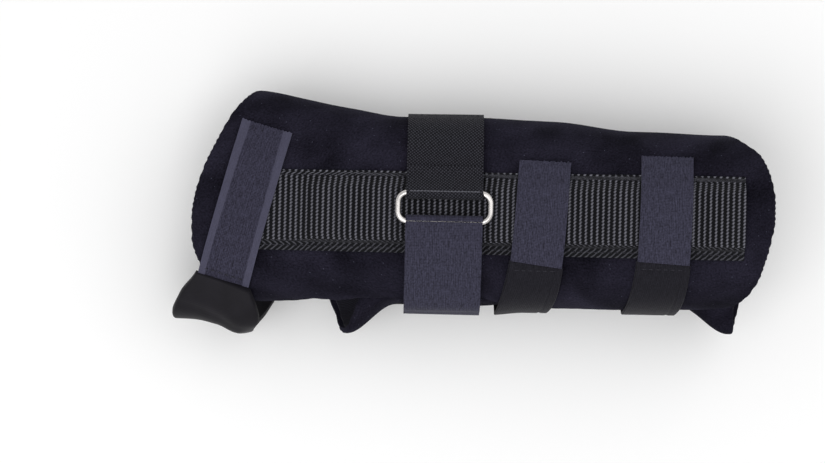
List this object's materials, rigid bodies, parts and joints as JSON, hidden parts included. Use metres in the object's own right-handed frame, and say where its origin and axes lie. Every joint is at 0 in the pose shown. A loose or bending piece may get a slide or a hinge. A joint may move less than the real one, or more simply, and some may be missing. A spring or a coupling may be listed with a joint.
{
  "type": "wrist splint",
  "caption": "Wrap-around foam laminate wrist splint for the right hand, with sliding stays, a ringed wrist strap, forearm straps and a thumb web strap.",
  "frame": {"origin": "middle of the flat underside of the palmar stay pocket", "axes": "+X from the fingers to the elbow, +Y to the little finger, +Z to the back of the hand"},
  "size_m": [0.269, 0.1113, 0.0749],
  "materials": {
    "loop_fabric": "brushed loop knit laminated to foam",
    "lining_fabric": "smooth knit lining",
    "black_webbing": "ribbed webbing",
    "strap_webbing": "woven strap",
    "hook_tape": "woven hook tape",
    "neoprene": "knit faced neoprene",
    "nickel_wire": "polished nickel",
    "stay_aluminium": "mill finish",
    "dipped_plastic": "dipped vinyl"
  },
  "bodies": {
    "palmar": {"palmar_shell": "loop_fabric", "palmar_lining": "lining_fabric", "palmar_stay_pocket": "black_webbing", "mid_strap_sewn_end": "strap_webbing", "upper_strap_sewn_end": "strap_webbing", "wrist_strap_sewn_end": "strap_webbing", "thumb_pad_palm_end": "neoprene"},
    "dorsal": {"dorsal_shell": "loop_fabric", "dorsal_lining": "lining_fabric", "dorsal_stay_sleeve": "black_webbing", "ring_webbing": "black_webbing", "wrist_strap_run": "strap_webbing"},
    "dorsal_stay_body": {"dorsal_stay": "stay_aluminium", "dorsal_stay_tips": "dipped_plastic"},
    "palmar_stay_body": {"palmar_stay": "stay_aluminium", "palmar_stay_tips": "dipped_plastic"},
    "ring_body": {"ring": "nickel_wire"},
    "wrist_tail": {"wrist_strap_tail": "strap_webbing", "wrist_hook_patch": "hook_tape"},
    "mid_strap": {"mid_strap_band": "strap_webbing"},
    "mid_tab": {"mid_strap_hook_tab": "hook_tape"},
    "upper_strap": {"upper_strap_band": "strap_webbing"},
    "upper_tab": {"upper_strap_hook_tab": "hook_tape"},
    "thumb_strap": {"thumb_web_pad": "neoprene"},
    "thumb_tab": {"thumb_hook_tab": "hook_tape"}
  },
  "joints": [
    {"name": "shell_open", "type": "hinge", "parent": "palmar", "child": "dorsal", "pos_m": [-0.015, 0.04774, 0.03286], "axis": [-0.9965, 0.0738, -0.0399], "range_deg": [0, 45], "deforming": ["wrist_strap_run"]},
    {"name": "mid_strap_swing", "type": "hinge", "parent": "palmar", "child": "mid_strap", "pos_m": [-0.0005, -0.04019, 0.02314], "axis": [0.998, 0.059, 0.0215], "range_deg": [0, 126]},
    {"name": "mid_tab_peel", "type": "hinge", "parent": "mid_strap", "child": "mid_tab", "pos_m": [0.005, -0.02268, 0.06527], "axis": [0.9911, -0.1322, 0.0138], "range_deg": [0, 70]},
    {"name": "upper_strap_swing", "type": "hinge", "parent": "palmar", "child": "upper_strap", "pos_m": [0.057, -0.03939, 0.02508], "axis": [0.9971, -0.0089, 0.0757], "range_deg": [0, 126]},
    {"name": "upper_tab_peel", "type": "hinge", "parent": "upper_strap", "child": "upper_tab", "pos_m": [0.0613, -0.02097, 0.07026], "axis": [0.997, -0.0576, 0.0522], "range_deg": [0, 70]},
    {"name": "thumb_strap_swing", "type": "hinge", "parent": "palmar", "child": "thumb_strap", "pos_m": [-0.13858, -0.05437, 0.02041], "axis": [0.9843, -0.16, 0.075], "range_deg": [0, 126]},
    {"name": "thumb_tab_peel", "type": "hinge", "parent": "thumb_strap", "child": "thumb_tab", "pos_m": [-0.13486, -0.0336, 0.04918], "axis": [0.9433, -0.3203, -0.0868], "range_deg": [0, 70]},
    {"name": "ring_tilt", "type": "hinge", "parent": "dorsal", "child": "ring_body", "pos_m": [-0.0364, 0.0083, 0.06711], "axis": [-0.9968, 0, -0.0797], "range_deg": [0, 50], "deforming": ["wrist_strap_run"]},
    {"name": "wrist_tail_peel", "type": "hinge", "parent": "ring_body", "child": "wrist_tail", "pos_m": [-0.0364, -0.00445, 0.07001], "axis": [-0.9968, 0, -0.0797], "range_deg": [0, 100]},
    {"name": "dorsal_stay_slide", "type": "slide", "parent": "dorsal", "child": "dorsal_stay_body", "axis": [0.9968, 0, 0.0797], "range_m": [0, 0.18]},
    {"name": "palmar_stay_slide", "type": "slide", "parent": "palmar", "child": "palmar_stay_body", "axis": [1, 0, 0], "range_m": [0, 0.14]}
  ],
  "couplings": [
    {"joint": "mid_strap_swing", "follows": "shell_open", "ratio": 2.8},
    {"joint": "upper_strap_swing", "follows": "shell_open", "ratio": 2.8},
    {"joint": "thumb_strap_swing", "follows": "shell_open", "ratio": 2.8}
  ]
}
